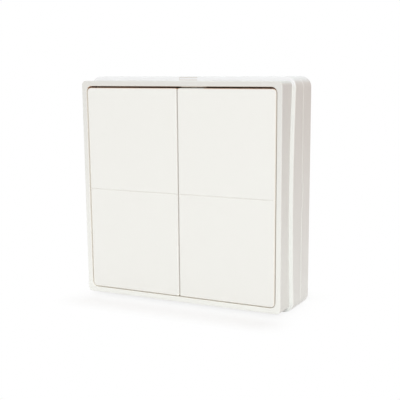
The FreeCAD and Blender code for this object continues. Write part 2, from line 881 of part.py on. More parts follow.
def make_chip_capacitors():
    pieces = []
    for number in range(capacitor_count):
        x = capacitor_x + (number - (capacitor_count - 1) / 2) * capacitor_pitch
        pieces.append(board_part(x, capacitor_z, capacitor_size))
    return Part.makeCompound(pieces)


def make_buffer_capacitor():
    """Round aluminium can on a square plastic foot."""
    side = 2 * (can_radius + can_foot)
    foot = board_part(can_x, can_z, (side, can_foot_height, side))
    start = board_back_d + can_foot_height - 0.1
    can = rod(can_x, can_z, can_radius, start, board_back_d + can_height)
    can = can.makeChamfer(0.3, edges_at_depth(can, board_back_d + can_height))
    return foot.fuse(can)


def make_antenna_wire():
    """Wire that rises off the board, runs round its top edge and ends on the other side."""
    x = board_right - wire_edge_gap
    foot_z = board_top - wire_foot_drop
    top = board_top - wire_edge_gap
    level = at_depth(board_back_d + wire_height)
    points = [FreeCAD.Vector(-x, at_depth(board_back_d), foot_z), FreeCAD.Vector(-x, level, foot_z),
              FreeCAD.Vector(-x, level, top), FreeCAD.Vector(x, level, top),
              FreeCAD.Vector(x, level, top - wire_end_drop)]
    path = rounded_path(points, [wire_foot_bend, wire_corner, wire_corner])
    circle = Part.makeCircle(wire_radius, points[0], FreeCAD.Vector(0, 1, 0))
    pipe = Part.Wire(path).makePipeShell([Part.Wire([circle])], True, False)
    return Part.Solid(pipe) if pipe.ShapeType != "Solid" else pipe


def rounded_path(points, radii):
    """Straight runs through the points, joined by tangent arcs of these radii."""
    edges = []
    start = points[0]
    for index, radius in enumerate(radii):
        corner = points[index + 1]
        before = (points[index] - corner).normalize()
        after = (points[index + 2] - corner).normalize()
        angle = before.getAngle(after)
        setback = radius / math.tan(angle / 2)
        first = corner + before * setback
        last = corner + after * setback
        towards = (before + after).normalize()
        middle = corner + towards * (radius / math.sin(angle / 2) - radius)
        edges.append(Part.LineSegment(start, first).toShape())
        edges.append(Part.Arc(first, middle, last).toShape())
        start = last
    edges.append(Part.LineSegment(start, points[-1]).toShape())
    return edges


def cell_places():
    """Centre height and direction of each cell; the second lies the other way round."""
    return [(tray_z + cell_spacing / 2, 1), (tray_z - cell_spacing / 2, -1)]


def cell_middle(way):
    """The leaf needs more room than the plate, so a cell lies off the middle of the tray."""
    plate_room = contact_sheet + dimple_reach
    leaf_room = contact_sheet + leaf_reach
    return way * (leaf_room - plate_room) / 2


def make_battery_holder():
    """Open tray with a round seat under each cell."""
    tray = centred_block(0, tray_z, tray_length, tray_height, wall_back_d, tray_rim_d)
    tray = tray.makeFillet(0.8, edges_along_depth(tray))
    inside_height = tray_height - 2 * tray_side
    start = cell_d - seat_below_axis
    tray = tray.cut(centred_block(0, tray_z, tray_inside, inside_height, start, tray_rim_d + 1))
    half = tray_inside / 2
    seat_radius = cell_radius + cell_floor_gap
    tray = tray.cut([cross_rod(-half, half, cell_d, z, seat_radius) for z, way in cell_places()])
    for side in left_and_right:
        slot = contact_sheet + 0.3
        x = side * (tray_inside / 2 - slot / 2)
        for z, way in cell_places():
            seat = centred_block(x, z, slot, contact_width + 0.4, contact_start_d() - 0.1, tray_rim_d)
            tray = tray.cut(seat)
    for side in left_and_right:
        x = side * tray_length / 4
        start = cell_d - finger_gap_below_axis
        tray = tray.cut(centred_block(x, tray_z, finger_gap_width, tray_height + 2, start, tray_rim_d + 1))
    return tray


def contact_start_d():
    return cell_d - contact_height / 2


def contact_plate(side, z):
    """Flat strip against the tray's end wall."""
    outer = side * tray_inside / 2
    inner = side * (tray_inside / 2 - contact_sheet)
    start = contact_start_d()
    return block(min(outer, inner), max(outer, inner), start, start + contact_height,
                 z - contact_width / 2, z + contact_width / 2)


def make_negative_contacts():
    """Plate with a bowed leaf that presses on the flat end of a cell."""
    pieces = []
    chord = contact_height * 0.8
    radius = (chord * chord / 4 + leaf_reach * leaf_reach) / (2 * leaf_reach)
    for z, way in cell_places():
        side = -way
        base_x = side * (tray_inside / 2 - contact_sheet)
        centre_x = base_x + side * (radius - leaf_reach)
        outer = upright_rod(centre_x, cell_d, z - contact_width / 2, z + contact_width / 2, radius)
        inner = upright_rod(centre_x, cell_d, z - contact_width, z + contact_width, radius - contact_sheet)
        root = base_x + side * contact_sheet * 0.5
        reach = base_x - side * leaf_reach * 1.5
        bow = block(min(root, reach), max(root, reach), cell_d - chord, cell_d + chord,
                    z - contact_width, z + contact_width)
        leaf = outer.cut(inner).common(bow)
        pieces.append(contact_plate(side, z).fuse(leaf).removeSplitter())
    return Part.makeCompound(pieces)


def make_positive_contacts():
    """Plate with a round dimple that meets the nub of a cell."""
    pieces = []
    for z, way in cell_places():
        side = way
        inner = side * (tray_inside / 2 - contact_sheet)
        tip = inner - side * dimple_reach
        root = inner + side * contact_sheet / 2
        dimple = cross_rod(min(root, tip), max(root, tip), cell_d, z, dimple_radius)
        pieces.append(contact_plate(side, z).fuse(dimple).removeSplitter())
    return Part.makeCompound(pieces)


def make_cell(index):
    """Battery turned about its long axis; its nub points to the plate."""
    z, way = cell_places()[index]
    x = cell_middle(way)
    start = x - way * cell_length / 2
    end = x + way * (cell_length / 2 - cell_nub_length)
    can = cross_rod(min(start, end), max(start, end), cell_d, z, cell_radius)
    rims = [edge for edge in can.Edges if edge.BoundBox.XLength < 1e-6]
    can = can.makeChamfer(cell_round, rims)
    root = end - way * merge_depth
    tip = x + way * cell_length / 2
    nub = cross_rod(min(root, tip), max(root, tip), cell_d, z, cell_nub_radius)
    return can.fuse(nub).removeSplitter()


def save(shape, node):
    shape.exportStep("parts/" + node + ".step")


def main():
    os.makedirs("parts", exist_ok=True)
    save(make_front_frame(), "front_frame")
    save(make_rocker(-1), "left_rocker")
    save(make_rocker(1), "right_rocker")
    save(make_pivot_pin(-1), "left_pivot_pin")
    save(make_pivot_pin(1), "right_pivot_pin")
    save(make_rocker_carrier(), "rocker_carrier")
    save(make_carrier_screws(), "carrier_screws")
    save(make_housing(), "housing")
    save(make_main_board(), "main_board")
    save(make_board_screws(), "board_screws")
    save(make_key_switches(), "key_switches")
    for side, side_name in ((-1, "left"), (1, "right")):
        for level, level_name in ((-1, "lower"), (1, "upper")):
            save(make_stem(side, level), level_name + "_" + side_name + "_stem")
    save(make_learn_switch(), "learn_switch")
    save(make_learn_button(), "learn_button")
    save(make_status_led(), "status_led")
    save(make_microcontroller(), "microcontroller")
    save(make_radio_board(), "radio_board")
    save(make_radio_shield(), "radio_shield")
    save(make_crystal(), "crystal")
    save(make_chip_capacitors(), "chip_capacitors")
    save(make_buffer_capacitor(), "buffer_capacitor")
    save(make_antenna_wire(), "antenna_wire")
    save(make_battery_holder(), "battery_holder")
    save(make_cell(0), "upper_battery")
    save(make_cell(1), "lower_battery")
    save(make_negative_contacts(), "negative_contacts")
    save(make_positive_contacts(), "positive_contacts")
    save(make_back_base(), "back_base")


main()
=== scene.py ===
import math

import bpy
from mathutils import Matrix, Vector


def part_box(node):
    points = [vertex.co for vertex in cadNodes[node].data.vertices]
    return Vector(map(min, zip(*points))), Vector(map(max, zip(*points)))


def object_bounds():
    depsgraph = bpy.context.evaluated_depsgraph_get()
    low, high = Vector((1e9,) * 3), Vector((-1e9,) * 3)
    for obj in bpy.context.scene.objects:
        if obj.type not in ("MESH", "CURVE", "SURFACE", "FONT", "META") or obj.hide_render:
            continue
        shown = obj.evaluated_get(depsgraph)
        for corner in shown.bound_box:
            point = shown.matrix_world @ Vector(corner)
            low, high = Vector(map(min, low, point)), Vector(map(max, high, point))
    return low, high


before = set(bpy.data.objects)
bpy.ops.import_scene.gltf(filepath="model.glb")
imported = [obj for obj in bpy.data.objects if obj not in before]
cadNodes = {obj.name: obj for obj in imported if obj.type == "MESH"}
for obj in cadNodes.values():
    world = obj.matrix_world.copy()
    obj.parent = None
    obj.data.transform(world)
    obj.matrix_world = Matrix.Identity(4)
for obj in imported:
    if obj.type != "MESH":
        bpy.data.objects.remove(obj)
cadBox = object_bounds()
mm = 0.001

# Wireless wall switch with two rocker keys. Everything is in metres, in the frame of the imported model:
# X to the right, Y from the front to the wall, Z up, the origin under the middle of the switch.


def planes(node):
    # outer planes of a node, with its middle and half sizes
    low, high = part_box(node)
    middle = (low + high) / 2
    return {"left": low.x, "right": high.x, "front": low.y, "bottom": low.z, "top": high.z,
            "midX": middle.x, "midY": middle.y, "midZ": middle.z,
            "halfX": (high.x - low.x) / 2, "halfY": (high.y - low.y) / 2, "halfZ": (high.z - low.z) / 2}


frameBox = planes("front_frame")
housingBox = planes("housing")


class Flow:
    # one socket of a node tree; sums, products and comparisons of flows add Math nodes
    def __init__(self, tree, socket=None):
        self.tree = tree
        self.socket = socket

    def make(self, kind, inputs=None, out=0, **settings):
        # new node with links or fixed values on its inputs, as a flow from one of its outputs
        node = self.tree.nodes.new(kind)
        for name, value in settings.items():
            setattr(node, name, value)
        for name, value in (inputs or {}).items():
            if isinstance(value, Flow):
                self.tree.links.new(value.socket, node.inputs[name])
            else:
                node.inputs[name].default_value = value
        return Flow(self.tree, node.outputs[out] if node.outputs else None)

    def math(self, operation, *values):
        return self.make("ShaderNodeMath", dict(enumerate(values)), operation=operation)

    def __add__(self, other):
        return self.math("ADD", self, other)

    def __sub__(self, other):
        return self.math("SUBTRACT", self, other)

    def __rsub__(self, other):
        return self.math("SUBTRACT", other, self)

    def __mul__(self, other):
        return self.math("MULTIPLY", self, other)

    def __truediv__(self, other):
        return self.math("DIVIDE", self, other)

    def __abs__(self):
        return self.math("ABSOLUTE", self)

    def __lt__(self, other):
        return self.math("LESS_THAN", self, other)

    def __gt__(self, other):
        return self.math("GREATER_THAN", self, other)

    __radd__ = __add__

    def smaller(self, other):
        return self.math("MINIMUM", self, other)

    def larger(self, other):
        return self.math("MAXIMUM", self, other)

    def ramp(self, low, high, start=0.0, end=1.0):
        # smooth step from start to end while this flow goes from low to high
        inputs = {"Value": self, "From Min": low, "From Max": high, "To Min": start, "To Max": end}
        return self.make("ShaderNodeMapRange", inputs, interpolation_type="SMOOTHSTEP")

    def blend(self, first, second):
        # colour between two colours, with this flow as the share of the second
        colours = [value if isinstance(value, Flow) else (*value, 1) for value in (first, second)]
        return self.make("ShaderNodeMix", {0: self, 6: colours[0], 7: colours[1]}, 2, data_type="RGBA")

    def tint(self, colour):
        # this flow as the strength of a colour
        return self.make("ShaderNodeVectorMath", {0: colour, "Scale": self}, operation="SCALE")

    def stretched(self, x, y, z):
        return self.make("ShaderNodeVectorMath", {0: self, 1: (x, y, z)}, operation="MULTIPLY")

    def noise(self, size, detail=3.0, roughness=0.55):
        # noise whose features are about this many metres across
        inputs = {"Vector": self, "Scale": 1 / size, "Detail": detail, "Roughness": roughness}
        return self.make("ShaderNodeTexNoise", inputs)

    def bump(self, distance, strength=0.6):
        return self.make("ShaderNodeBump", {"Strength": strength, "Distance": distance, "Height": self})

    def axes(self):
        split = self.make("ShaderNodeSeparateXYZ", {"Vector": self})
        return [Flow(self.tree, output) for output in split.socket.node.outputs]

    def facing(self):
        # how far the surface looks along each axis, from 0 to 1
        return [abs(axis) for axis in self.make("ShaderNodeNewGeometry", out="Normal").axes()]


def startFinish(name):
    # new material and the flow of its object coordinates
    material = bpy.data.materials.new(name)
    material.use_nodes = True
    material.node_tree.nodes.clear()
    return material, Flow(material.node_tree).make("ShaderNodeTexCoord", out="Object")


def endFinish(place, shader):
    place.make("ShaderNodeOutputMaterial", {"Surface": shader})


def surface(place, colour, roughness, normal, **others):
    # Principled shader; fixed values go straight on its own sockets
    inputs = {"Base Color": colour, "Roughness": roughness, "Normal": normal}
    inputs.update({name.replace("_", " "): value for name, value in others.items()})
    endFinish(place, place.make("ShaderNodeBsdfPrincipled", inputs))


def distanceTo(first, second, places):
    # distance to the nearest of some places, in the plane of two axes
    nearest = None
    for placeFirst, placeSecond in places:
        alongFirst, alongSecond = first - placeFirst, second - placeSecond
        away = first.math("SQRT", alongFirst * alongFirst + alongSecond * alongSecond)
        nearest = nearest.smaller(away) if nearest else away
    return nearest


def edgeDistance(x, y, z, box):
    # distance to the nearest edge round a box's front, or corner edge that runs back from it
    side = box["halfX"] - abs(x - box["midX"])
    end = box["halfZ"] - abs(z - box["midZ"])
    front = y - box["front"]
    return side.smaller(end).larger(side.larger(end).smaller(front))


def dressNodes(material, *names):
    for name in names:
        node = cadNodes[name]
        node.data.materials.clear()
        node.data.materials.append(material)


# Gaps round the keys: the light between thin white walls is warm, so the gap walls get warm painted light and
# shade: a dark brown painted shade above the keys, a pale warm painted light beside and below them, a paler
# painted tone between them and a warm painted light on the guide rib
gapLook = {
    "zone": (1.3 * mm, 3.0 * mm),           # inward from the frame's outline
    "deepShade": (0.74, 0.5, 0.35),              # painted shade above the keys, where little light comes in
    "shallow": (0.99, 0.95, 0.88),          # painted light beside and below them
    "middle": (0.91, 0.88, 0.84),           # painted light between them
    "shallowStart": (0.1 * mm, 0.35 * mm),  # behind the front
    "levelFacing": (0.3, 0.7),              # the painted deep shade is for walls that face up or down
    "middleHalf": 1.2 * mm,
    "guide": (1.0 * mm, 11.0 * mm),         # the pale guide rib under the top rim
    # painted warm light on the guide rib, in place of the painted shade above the keys
    "guideColour": (0.99, 0.85, 0.72),
    "share": 0.9,
}


def gapTone(x, y, z, colour, deepStart, guideColour):
    # painted light and shade on the gap walls: pale warm light beside and below the keys, dark brown shade
    # above them
    inward = (frameBox["halfX"] - abs(x)).smaller(frameBox["halfZ"] - abs(z - frameBox["midZ"]))
    near, far = gapLook["zone"]
    zone = (inward > near) * (inward < far) * gapLook["share"]
    above = ((frameBox["top"] - z) < far) * x.facing()[2].ramp(*gapLook["levelFacing"])
    atGuide = (x > gapLook["guide"][0]) * (x < gapLook["guide"][1])
    depth = y - frameBox["front"]
    begun = depth.ramp(*gapLook["shallowStart"])
    colour = (begun * zone * (1 - above)).blend(colour, gapLook["shallow"])
    deepColour = atGuide.blend(gapLook["deepShade"], guideColour)
    return (depth.ramp(*deepStart) * zone * above).blend(colour, deepColour)


# Warm white shell: frame, housing and base. Its tones carry painted light and shade: front-facing and
# side-facing surfaces have separate painted tones that change a little with height, top-facing surfaces a
# painted darker tone, and the front's upper end a painted band.
shellLook = {
    # painted light and shade: front and side tones at the bottom and at the top of the housing
    "frontLow": (0.879, 0.884, 0.85),
    "frontHigh": (0.739, 0.735, 0.708),
    "sideLow": (0.874, 0.87, 0.837),
    "sideHigh": (0.693, 0.659, 0.63),
    "sideFacing": (0.4, 0.85),
    # painted shade on upward-facing surfaces in the upper half
    "paintedTopShade": (0.7, 0.7, 0.68),
    "topFacing": (0.3, 0.8),
    "topLevel": 0.5,                # levels are shares of the housing's height
    "strip": (0.741, 0.731, 0.703),
    "stripLevels": (0.95, 0.98),    # painted band along the front's upper end
    # paler edges: wear, and a painted highlight where the rounded edges catch light
    "wearAndHighlight": (0.9, 0.895, 0.87),
    "wearAndHighlightWidth": 0.7 * mm,
    "wearAndHighlightShare": 0.1,
    "wearAndHighlightPatch": 2.5 * mm,
    "wearAndHighlightRange": (0.4, 0.65),
    "wearPolish": 0.25,
    "roughness": 0.42,
    "cloud": 9 * mm,
    "cloudShare": 0.012,
    "cloudRough": 0.12,
    "grain": 0.28 * mm,
    "grainHeight": 0.004 * mm,
    "grainFacing": (0.5, 0.9),
    "grainOnTop": 0.2,
    "deepStart": (0.05 * mm, 0.18 * mm),
}
bodyLook = {
    **shellLook,
    "frontLow": (0.845, 0.855, 0.829),
    "frontHigh": (0.825, 0.825, 0.795),
    "sideLow": (0.868, 0.864, 0.836),
    "sideHigh": (0.702, 0.656, 0.62),
    "paintedTopShade": (0.76, 0.76, 0.76),
    # painted highlight along the housing's upper front band
    "strip": (0.872, 0.867, 0.883),
    "grainHeight": 0.0025 * mm,
}
recessLook = {
    "half": 3.8 * mm,
    "levels": (0.42 * mm, 1.3 * mm),    # under the housing's top
    "line": 0.22 * mm,
    # painted shade lines along the recess's upper and lower edges
    "paintedShade": (0.62, 0.52, 0.42),
    "share": 0.34,
}


def shellFinish(name, look, box, detail=None):
    # detail adds what only one of the pieces has
    material, place = startFinish(name)
    x, y, z = place.axes()
    cloud = place.noise(look["cloud"], detail=2.0) - 0.5
    level = (z - housingBox["bottom"]) / (2 * housingBox["halfZ"])
    sideways, _, upward = place.facing()
    # painted light and shade: tones by height and by facing, a painted band at the front's upper end, a
    # painted shade on top-facing surfaces
    front = level.blend(look["frontLow"], look["frontHigh"])
    front = level.ramp(*look["stripLevels"]).blend(front, look["strip"])
    side = level.blend(look["sideLow"], look["sideHigh"])
    onTop = upward.ramp(*look["topFacing"]) * (level > look["topLevel"])
    tone = onTop.blend(sideways.ramp(*look["sideFacing"]).blend(front, side), look["paintedTopShade"])
    # paler edges: wear and a painted highlight where the edges catch light; the same mask also lowers
    # roughness
    patchy = place.noise(look["wearAndHighlightPatch"]).ramp(*look["wearAndHighlightRange"])
    wearAndHighlight = edgeDistance(x, y, z, box).ramp(0, look["wearAndHighlightWidth"], 1, 0) * patchy * look["wearAndHighlightShare"]
    shade = 1 - cloud * look["cloudShare"]
    colour = wearAndHighlight.blend(shade.tint(tone), look["wearAndHighlight"])
    if detail:
        colour = detail(x, y, z, colour)
    rough = cloud * look["cloudRough"] + look["roughness"] - wearAndHighlight * look["wearPolish"]
    grain = place.noise(look["grain"], detail=4.0, roughness=0.6)
    calmed = grain * upward.ramp(*look["grainFacing"], 1, look["grainOnTop"])
    surface(place, colour, rough, calmed.bump(look["grainHeight"]))
    return material


def gapDetail(x, y, z, colour):
    return gapTone(x, y, z, colour, shellLook["deepStart"], gapLook["guideColour"])


def recessDetail(x, y, z, colour):
    # painted shade along the upper and lower edge of the pry recess
    drop = housingBox["top"] - z
    upper, lower = [abs(drop - level) < recessLook["line"] for level in recessLook["levels"]]
    share = upper.larger(lower) * (abs(x) < recessLook["half"]) * x.facing()[1]
    return (share * recessLook["share"]).blend(colour, recessLook["paintedShade"])


dressNodes(shellFinish("framePlastic", shellLook, frameBox, gapDetail), "front_frame")
dressNodes(shellFinish("housingPlastic", bodyLook, housingBox, recessDetail), "housing")
dressNodes(shellFinish("basePlastic", bodyLook, planes("back_base")), "back_base")
print("shell done")

# Keys: smoother than the shell, a little polished where fingers press
keyLook = {
    "colour": (0.853, 0.849, 0.82),
    "endShade": (0.8, 0.755, 0.69),        # painted warm shade on the keys' wall at the right-hand side gap
    "endFacing": (0.1, 0.8),
    "endReach": 3 * mm,
    # painted shade in the crease across each key
    "paintedShade": (0.75, 0.725, 0.69),
    "creaseShade": 0.9,
    "creaseDepth": (0.04 * mm, 0.2 * mm),
    "creaseReach": (0.1 * mm, 0.5 * mm),
    "roughness": 0.4,
    "polish": 0.06,
    "pressLevel": 0.62,                     # share of the way from the middle to a key's end
    "pressReach": 15 * mm,
    "pressPatch": 5 * mm,
    "cloud": 12 * mm,
    "cloudShare": 0.008,
    "cloudRough": 0.1,
    "grain": 0.22 * mm,
    "grainHeight": 0.0025 * mm,
    "deepStart": (0.22 * mm, 0.4 * mm),
}


def keyFinish(name, look, box):
    material, place = startFinish(name)
    x, y, z = place.axes()
    depth = y - box["front"]
    cloud = place.noise(look["cloud"], detail=2.0) - 0.5
    shade = 1 - cloud * look["cloudShare"]
    # painted shade in the crease across the key
    inCrease = depth.ramp(*look["creaseDepth"]) * abs(z - box["midZ"]).ramp(*look["creaseReach"], 1, 0)
    # painted warm shade on the key's wall at the right-hand gap
    rightEnd = place.facing()[0].ramp(*look["endFacing"]) * (x > frameBox["halfX"] - look["endReach"])
    # painted light on the key walls between the two keys
    between = depth.ramp(*gapLook["shallowStart"]) * (abs(x) < gapLook["middleHalf"])
    colour = (inCrease * look["creaseShade"]).blend(shade.tint(look["colour"]), look["paintedShade"])
    colour = (between * gapLook["share"]).blend(colour, gapLook["middle"])
    # painted gap shade and light on the keys' outer walls
    colour = gapTone(x, y, z, colour, look["deepStart"], look["colour"])
    colour = rightEnd.blend(colour, look["endShade"])
    pressed = [(box["midX"], box["midZ"] + way * box["halfZ"] * look["pressLevel"]) for way in (-1, 1)]
    touched = distanceTo(x, z, pressed).ramp(0, look["pressReach"], 1, 0) * place.noise(look["pressPatch"])
    rough = cloud * look["cloudRough"] + look["roughness"] - touched * look["polish"]
    grain = place.noise(look["grain"], detail=4.0, roughness=0.6)
    surface(place, colour, rough, grain.bump(look["grainHeight"]))
    return material


for key in ("left_rocker", "right_rocker"):
    dressNodes(keyFinish(key + "Plastic", keyLook, planes(key)), key)
print("keys done")

# Moulded plastics inside, with faint flow streaks under a fine grain
mouldedLook = {"flowStretch": (1, 1, 0.35), "flowRange": (0.35, 0.75), "flowRough": 0.1}
# the carrier's warm brown is partly a painted shade: it gives the deep top gap its dark warm tone
carrierLook = {**mouldedLook, "colour": (0.57, 0.455, 0.365), "fleck": (0.558, 0.445, 0.357),
               "roughness": 0.5, "grain": 0.3 * mm, "grainHeight": 0.005 * mm, "flow": 7 * mm}
trayLook = {**mouldedLook, "colour": (0.03, 0.03, 0.033), "fleck": (0.055, 0.055, 0.06),
            "roughness": 0.48, "grain": 0.2 * mm, "grainHeight": 0.006 * mm, "flow": 5 * mm}
switchLook = {**mouldedLook, "colour": (0.022, 0.022, 0.024), "fleck": (0.04, 0.04, 0.042),
              "roughness": 0.42, "grain": 0.12 * mm, "grainHeight": 0.003 * mm, "flow": 2 * mm}
stemLook = {**mouldedLook, "colour": (0.3, 0.3, 0.31), "fleck": (0.24, 0.24, 0.25),
            "roughness": 0.36, "grain": 0.1 * mm, "grainHeight": 0.002 * mm, "flow": 1.5 * mm}


def mouldedFinish(name, look):
    material, place = startFinish(name)
    streak = place.stretched(*look["flowStretch"]).noise(look["flow"], detail=4.0, roughness=0.6)
    streak = streak.ramp(*look["flowRange"])
    rough = streak * look["flowRough"] + look["roughness"]
    grain = place.noise(look["grain"], roughness=0.6)
    surface(place, streak.blend(look["colour"], look["fleck"]), rough, grain.bump(look["grainHeight"]))
    return material


dressNodes(mouldedFinish("carrierPlastic", carrierLook), "rocker_carrier")
dressNodes(mouldedFinish("trayPlastic", trayLook), "battery_holder")
dressNodes(mouldedFinish("switchPlastic", switchLook), "key_switches", "learn_switch")
dressNodes(mouldedFinish("stemPlastic", stemLook), "upper_left_stem", "lower_left_stem", "upper_right_stem",
           "lower_right_stem", "learn_button")
print("inner plastics done")

# Metals: fine scratches along one axis over a slow change of tone
metalLook = {"lineRough": 0.14, "toneRough": 0.06, "toneRange": (0.35, 0.7), "coat": 0.0}
pinLook = {**metalLook, "colour": (0.62, 0.62, 0.63), "shade": (0.5, 0.5, 0.51), "leastRough": 0.18,
           "lineStretch": (0.04, 1, 1), "lineSize": 0.12 * mm, "lineHeight": 0.002 * mm, "tone": 3 * mm}
screwLook = {**metalLook, "colour": (0.6, 0.61, 0.63), "shade": (0.43, 0.44, 0.46), "leastRough": 0.26,
             "lineStretch": (1, 1, 1), "lineSize": 0.3 * mm, "lineHeight": 0.004 * mm, "tone": 1.2 * mm}
tinLook = {**metalLook, "colour": (0.66, 0.66, 0.64), "shade": (0.56, 0.56, 0.54), "leastRough": 0.24,
           "lineStretch": (0.06, 1, 1), "lineSize": 0.15 * mm, "lineHeight": 0.003 * mm, "tone": 3 * mm}
contactLook = {**metalLook, "colour": (0.7, 0.69, 0.66), "shade": (0.58, 0.56, 0.52), "leastRough": 0.22,
               "lineStretch": (1, 0.06, 1), "lineSize": 0.14 * mm, "lineHeight": 0.003 * mm, "tone": 2.5 * mm}
wireLook = {**metalLook, "colour": (0.62, 0.27, 0.12), "shade": (0.45, 0.17, 0.08), "leastRough": 0.22,
            "lineStretch": (1, 1, 1), "lineSize": 0.5 * mm, "lineHeight": 0.004 * mm, "tone": 4 * mm,
            "coat": 0.6}


def metalFinish(name, look):
    material, place = startFinish(name)
    tone = place.noise(look["tone"]).ramp(*look["toneRange"])
    lines = place.stretched(*look["lineStretch"]).noise(look["lineSize"], roughness=0.65)
    rough = lines * look["lineRough"] + tone * look["toneRough"] + look["leastRough"]
    surface(place, tone.blend(look["colour"], look["shade"]), rough, lines.bump(look["lineHeight"]),
            Metallic=1.0, Coat_Weight=look["coat"])
    return material


dressNodes(metalFinish("groundSteel", pinLook), "left_pivot_pin", "right_pivot_pin")
dressNodes(metalFinish("zincPlate", screwLook), "carrier_screws", "board_screws")
dressNodes(metalFinish("tinPlate", tinLook), "radio_shield", "crystal")
dressNodes(metalFinish("nickelPlate", contactLook), "negative_contacts", "positive_contacts")
dressNodes(metalFinish("enamelledCopper", wireLook), "antenna_wire")
print("metals done")

# Circuit boards: green mask over patches of parallel tracks, tinned rings round the screws, bare glass edges
boardLook = {
    "mask": (0.018, 0.12, 0.045),
    "track": (0.035, 0.2, 0.075),
    "trackShare": 0.16,
    "pitch": 1.0 * mm,
    "patch": 6 * mm,
    "uprightFrom": 0.5,         # patches whose chance is higher have upright tracks
    "secondDraw": 7,            # a patch's chance times this gives a second chance
    "bareShare": 0.25,          # patches without tracks
    "tin": (0.66, 0.66, 0.63),
    "ring": (1.35 * mm, 2.3 * mm),
    "edge": (0.34, 0.33, 0.17),
    "edgeFacing": 0.5,
    "edgeRough": 0.35,
    "roughness": 0.28,
    "weave": 0.45 * mm,
    "weaveStretch": ((1, 1, 0.2), (0.2, 1, 1)),
    "weaveRough": 0.05,
    "weaveShare": 0.4,
    "height": 0.02 * mm,
}
radioLook = {**boardLook, "pitch": 0.7 * mm, "patch": 3 * mm}


def boardFinish(name, look, ringPlaces=()):
    material, place = startFinish(name)
    x, _, z = place.axes()
    patch = [axis.math("FLOOR", axis / look["patch"]) for axis in (x, z)]
    corner = place.make("ShaderNodeCombineXYZ", dict(enumerate(patch)))
    chance = place.make("ShaderNodeTexWhiteNoise", {"Vector": corner}, noise_dimensions="2D")
    upright = chance > look["uprightFrom"]
    across = x * upright + z * (1 - upright)
    inPitch = abs(across.math("FRACT", across / look["pitch"]) - 0.5)
    tracked = chance.math("FRACT", chance * look["secondDraw"]) > look["bareShare"]
    track = (inPitch < look["trackShare"]) * tracked
    colour = track.blend(look["mask"], look["track"])
    warp, weft = [place.stretched(*stretch).noise(look["weave"]) for stretch in look["weaveStretch"]]
    weave = warp + weft
    metallic = 0.0
    if ringPlaces:
        away = distanceTo(x, z, ringPlaces)
        metallic = (away > look["ring"][0]) * (away < look["ring"][1])
        colour = metallic.blend(colour, look["tin"])
    onEdge = place.facing()[1] < look["edgeFacing"]
    colour = onEdge.blend(colour, look["edge"])
    rough = onEdge * look["edgeRough"] + look["roughness"] + weave * look["weaveRough"]
    height = weave * look["weaveShare"] + track
    surface(place, colour, rough, height.bump(look["height"]), Metallic=metallic)
    return material


screwHead = 2.0 * mm
screwBox = planes("board_screws")
screwX, screwZ = screwBox["halfX"] - screwHead, screwBox["halfZ"] - screwHead
boardScrews = [(side * screwX, screwBox["midZ"] + way * screwZ) for side in (-1, 1) for way in (-1, 1)]
dressNodes(boardFinish("mainBoardLaminate", boardLook, boardScrews), "main_board")
dressNodes(boardFinish("radioBoardLaminate", radioLook), "radio_board")
print("boards done")

# Parts on the board, each with two finishes in one node
chipLook = {
    "package": (0.02, 0.02, 0.021),
    "roughness": 0.5,
    "mark": (0.09, 0.09, 0.09),
    "dotRadius": 0.45 * mm,
    "dotInset": 1.3 * mm,
    "dotPolish": 0.2,
    "lead": (0.7, 0.7, 0.68),
    "leadReach": 1.5 * mm,
    "leadPolish": 0.25,
    "grain": 0.08 * mm,
    "grainRough": 0.08,
    "grainHeight": 0.006 * mm,
}


def chipFinish(name, look, box):
    # moulded package with tinned leads above and below and a round dimple at the first lead
    material, place = startFinish(name)
    x, _, z = place.axes()
    lead = abs(z - box["midZ"]) > (box["halfZ"] - look["leadReach"])
    dotX = box["left"] + look["dotInset"]
    dotZ = box["bottom"] + look["leadReach"] + look["dotInset"]
    dot = distanceTo(x, z, [(dotX, dotZ)]) < look["dotRadius"]
    grain = place.noise(look["grain"], detail=2.0)
    colour = lead.blend(dot.blend(look["package"], look["mark"]), look["lead"])
    polish = lead * look["leadPolish"] + dot * look["dotPolish"]
    rough = look["roughness"] - polish + grain * look["grainRough"]
    surface(place, colour, rough, (grain * (1 - lead)).bump(look["grainHeight"]), Metallic=lead)
    return material


ceramicLook = {
    "body": (0.47, 0.33, 0.2),
    "speck": (0.4, 0.27, 0.16),
    "speckSize": 0.12 * mm,
    "speckRange": (0.4, 0.7),
    "speckRough": 0.1,
    "speckHeight": 0.005 * mm,
    "roughness": 0.55,
    "tin": (0.7, 0.7, 0.69),
    "tinPolish": 0.25,
    "length": 1.6 * mm,
    "pitch": 3.0 * mm,
    "cap": 0.35 * mm,
}


def ceramicFinish(name, look, box):
    # row of equal blocks with tinned ends
    material, place = startFinish(name)
    x = place.axes()[0]
    along = x.math("MODULO", x - box["left"] + 0.5 * look["pitch"] - 0.5 * look["length"], look["pitch"])
    tinned = abs(along - 0.5 * look["pitch"]) > (0.5 * look["length"] - look["cap"])
    speck = place.noise(look["speckSize"], detail=4.0, roughness=0.7).ramp(*look["speckRange"])
    colour = tinned.blend(speck.blend(look["body"], look["speck"]), look["tin"])
    rough = look["roughness"] - tinned * look["tinPolish"] + speck * look["speckRough"]
    surface(place, colour, rough, speck.bump(look["speckHeight"]), Metallic=tinned)
    return material


canLook = {
    "aluminium": (0.75, 0.75, 0.76),
    "roughness": 0.24,
    "spin": 0.06 * mm,
    "spinRough": 0.16,
    "spinHeight": 0.004 * mm,
    "foot": (0.03, 0.03, 0.03),
    "footHeight": 0.5 * mm,
    "mark": (0.035, 0.035, 0.04),
    "markShare": 0.55,
    "markDepth": 0.05 * mm,
    "plasticRough": 0.2,
}


